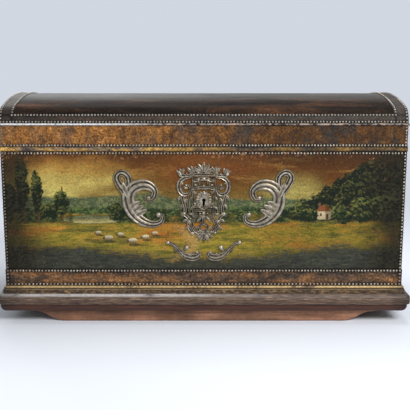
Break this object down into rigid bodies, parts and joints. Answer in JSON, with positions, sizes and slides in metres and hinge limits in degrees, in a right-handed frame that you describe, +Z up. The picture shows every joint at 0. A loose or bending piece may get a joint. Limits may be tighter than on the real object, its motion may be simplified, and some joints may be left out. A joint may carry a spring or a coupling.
{
  "type": "coffer",
  "caption": "Low rectangular chest with a barrel lid, nailed painted leather over boards, pierced lock plate, scroll mounts, end bail handles and a moulded base.",
  "frame": {"origin": "on the floor, under the middle of the box", "axes": "+X to the right along the width, +Y from the front to the back, +Z up"},
  "size_m": [1.14, 0.53, 0.6234],
  "materials": {
    "carcase_wood": "planed softwood, aged, unpolished",
    "plinth_wood": "reddish brown stain, rubbed",
    "moulding_wood": "dark polish with worn edges and a gilt bead",
    "painted_leather": "old oil paint under amber varnish, crackled",
    "dark_leather": "dark brown, varnished, rubbed",
    "band_leather": "amber brown, crackled varnish",
    "border_leather": "dark brown strip, rubbed to orange",
    "silvered_brass": "silvered casting, tarnished in the recesses",
    "wrought_iron": "forged, blackened, faint rust"
  },
  "bodies": {
    "carcase": {"front_board": "carcase_wood", "back_board": "carcase_wood", "left_end_board": "carcase_wood", "right_end_board": "carcase_wood", "floor_board": "carcase_wood", "plinth_front_runner": "plinth_wood", "plinth_back_runner": "plinth_wood", "plinth_left_bearer": "plinth_wood", "plinth_right_bearer": "plinth_wood", "base_moulding_front": "moulding_wood", "base_moulding_back": "moulding_wood", "base_moulding_left": "moulding_wood", "base_moulding_right": "moulding_wood", "front_leather": "painted_leather", "back_leather": "dark_leather", "left_end_leather": "dark_leather", "right_end_leather": "dark_leather", "lower_border_strips": "border_leather", "lock_escutcheon": "silvered_brass", "upper_left_scroll": "silvered_brass", "upper_right_scroll": "silvered_brass", "lower_left_scroll": "silvered_brass", "lower_right_scroll": "silvered_brass", "lock_plate": "wrought_iron", "lock_cover": "wrought_iron", "lock_keepers": "wrought_iron", "lock_spring": "wrought_iron", "left_hinge_body_leaf": "wrought_iron", "right_hinge_body_leaf": "wrought_iron", "left_hinge_pin": "wrought_iron", "right_hinge_pin": "wrought_iron", "left_handle_posts": "silvered_brass", "right_handle_posts": "silvered_brass"},
    "lid": {"lid_front_rail": "carcase_wood", "lid_back_rail": "carcase_wood", "lid_left_end": "carcase_wood", "lid_right_end": "carcase_wood", "lid_stave_1": "carcase_wood", "lid_stave_2": "carcase_wood", "lid_stave_3": "carcase_wood", "lid_stave_4": "carcase_wood", "lid_stave_5": "carcase_wood", "lid_stave_6": "carcase_wood", "lid_stave_7": "carcase_wood", "lid_top_leather": "dark_leather", "lid_front_leather": "band_leather", "lid_back_leather": "band_leather", "lid_left_leather": "band_leather", "lid_right_leather": "band_leather", "dome_border_strips": "border_leather", "lid_edge_bead": "band_leather", "lid_rim_binding": "band_leather", "left_hinge_lid_leaf": "wrought_iron", "right_hinge_lid_leaf": "wrought_iron", "lock_staple": "wrought_iron"},
    "bolt": {"lock_bolt": "wrought_iron"},
    "left_handle": {"left_bail": "silvered_brass"},
    "right_handle": {"right_bail": "silvered_brass"}
  },
  "joints": [
    {"name": "lid_hinge", "type": "hinge", "parent": "carcase", "child": "lid", "pos_m": [0, 0.24685, 0.4762], "axis": [-1, 0, 0], "range_deg": [0, 100]},
    {"name": "bolt_slide", "type": "slide", "parent": "carcase", "child": "bolt", "axis": [1, 0, 0], "range_m": [0, 0.014]},
    {"name": "left_handle_pivot", "type": "hinge", "parent": "carcase", "child": "left_handle", "pos_m": [-0.558, 0, 0.298], "axis": [0, 1, 0], "range_deg": [0, 100]},
    {"name": "right_handle_pivot", "type": "hinge", "parent": "carcase", "child": "right_handle", "pos_m": [0.558, 0, 0.298], "axis": [0, -1, 0], "range_deg": [0, 100]}
  ]
}
